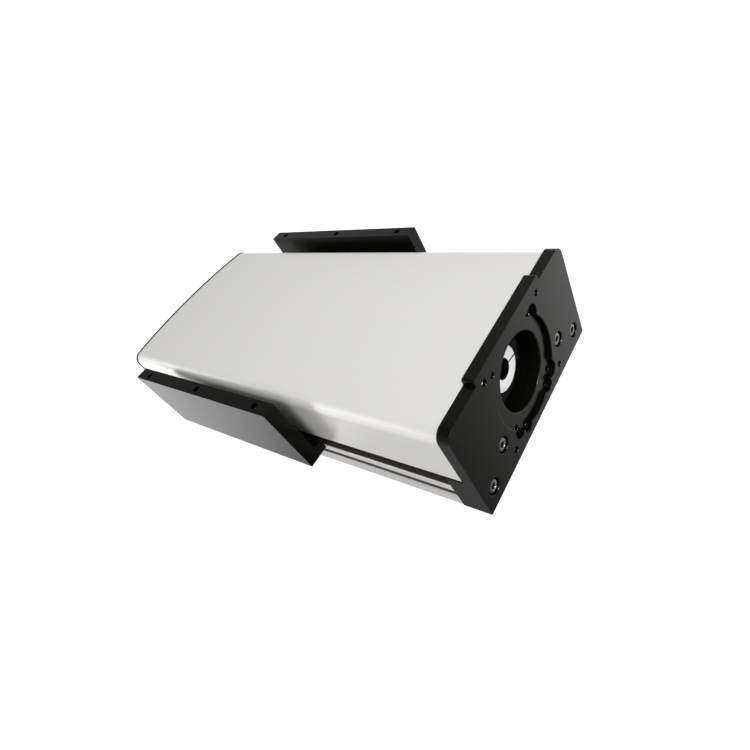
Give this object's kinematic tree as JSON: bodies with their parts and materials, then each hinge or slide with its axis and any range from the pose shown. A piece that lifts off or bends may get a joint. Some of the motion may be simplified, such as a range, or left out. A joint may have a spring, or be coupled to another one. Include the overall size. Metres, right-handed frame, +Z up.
{
  "type": "ball screw linear module",
  "caption": "Covered linear actuator with a screw-driven carriage between two black side wings, a motor mounting plate with coupling, and an arched aluminium cover.",
  "frame": {"origin": "bottom centre of the whole part's box, at rest", "axes": "+X along the travel towards the motor plate, +Y across, +Z up"},
  "size_m": [0.342, 0.188, 0.0805],
  "materials": {
    "anodised_base": "satin",
    "brushed_cover": "brushed satin",
    "black_plate": "satin black",
    "black_strip": "matte",
    "ground_steel": "ground",
    "dark_housing": "blackened",
    "bearing_steel": "polished",
    "bumper_rubber": "matte",
    "milled_aluminium": "milled",
    "block_steel": "ground",
    "green_plastic": "matte",
    "seal_rubber": "matte",
    "nipple_brass": "plain",
    "black_steel": "black oxide",
    "coupling_aluminium": "turned",
    "spider_elastomer": "matte",
    "black_screws": "black oxide"
  },
  "bodies": {
    "frame": {"base_profile": "anodised_base", "motor_end_plate": "black_plate", "far_end_plate": "black_plate", "top_cover": "brushed_cover", "slot_strip_left": "black_strip", "slot_strip_right": "black_strip", "guide_rail_left": "ground_steel", "guide_rail_right": "ground_steel", "rail_screws": "black_screws", "bearing_housing": "dark_housing", "housing_screws": "black_screws", "bearing_outer_rings": "bearing_steel", "bearing_retainer": "dark_housing", "retainer_screws": "black_screws", "far_bearing_outer": "bearing_steel", "motor_plate_screws": "black_screws", "far_plate_screws": "black_screws", "bumpers_motor_end": "bumper_rubber", "bumpers_far_end": "bumper_rubber"},
    "carriage": {"saddle": "milled_aluminium", "wing_left": "black_plate", "wing_right": "black_plate", "wing_bolts": "black_screws", "guide_block_motor_left": "block_steel", "guide_block_motor_right": "block_steel", "guide_block_far_left": "block_steel", "guide_block_far_right": "block_steel", "block_end_caps": "green_plastic", "block_seals": "seal_rubber", "block_screws": "black_screws", "grease_nipples": "nipple_brass", "nut_bracket": "milled_aluminium", "bracket_screws": "black_screws", "ball_nut": "block_steel", "nut_screws": "black_screws"},
    "screw": {"ball_screw": "ground_steel", "bearing_inner_rings": "bearing_steel", "bearing_balls": "bearing_steel", "lock_nut": "black_steel", "far_bearing_inner": "bearing_steel", "far_bearing_balls": "bearing_steel", "snap_ring": "black_steel", "coupling_screw_hub": "coupling_aluminium", "coupling_spider": "spider_elastomer", "coupling_motor_hub": "coupling_aluminium", "clamp_screws": "black_screws"}
  },
  "joints": [
    {"name": "carriage_slide", "type": "slide", "parent": "frame", "child": "carriage", "axis": [1, 0, 0], "range_m": [-0.038, 0.112]},
    {"name": "screw_spin", "type": "hinge", "parent": "frame", "child": "screw", "pos_m": [0, 0, 0.0405], "axis": [1, 0, 0], "range_deg": [-4033, 1369]}
  ],
  "couplings": [
    {"joint": "screw_spin", "follows": "carriage_slide", "rad_per_m": -628.32}
  ]
}
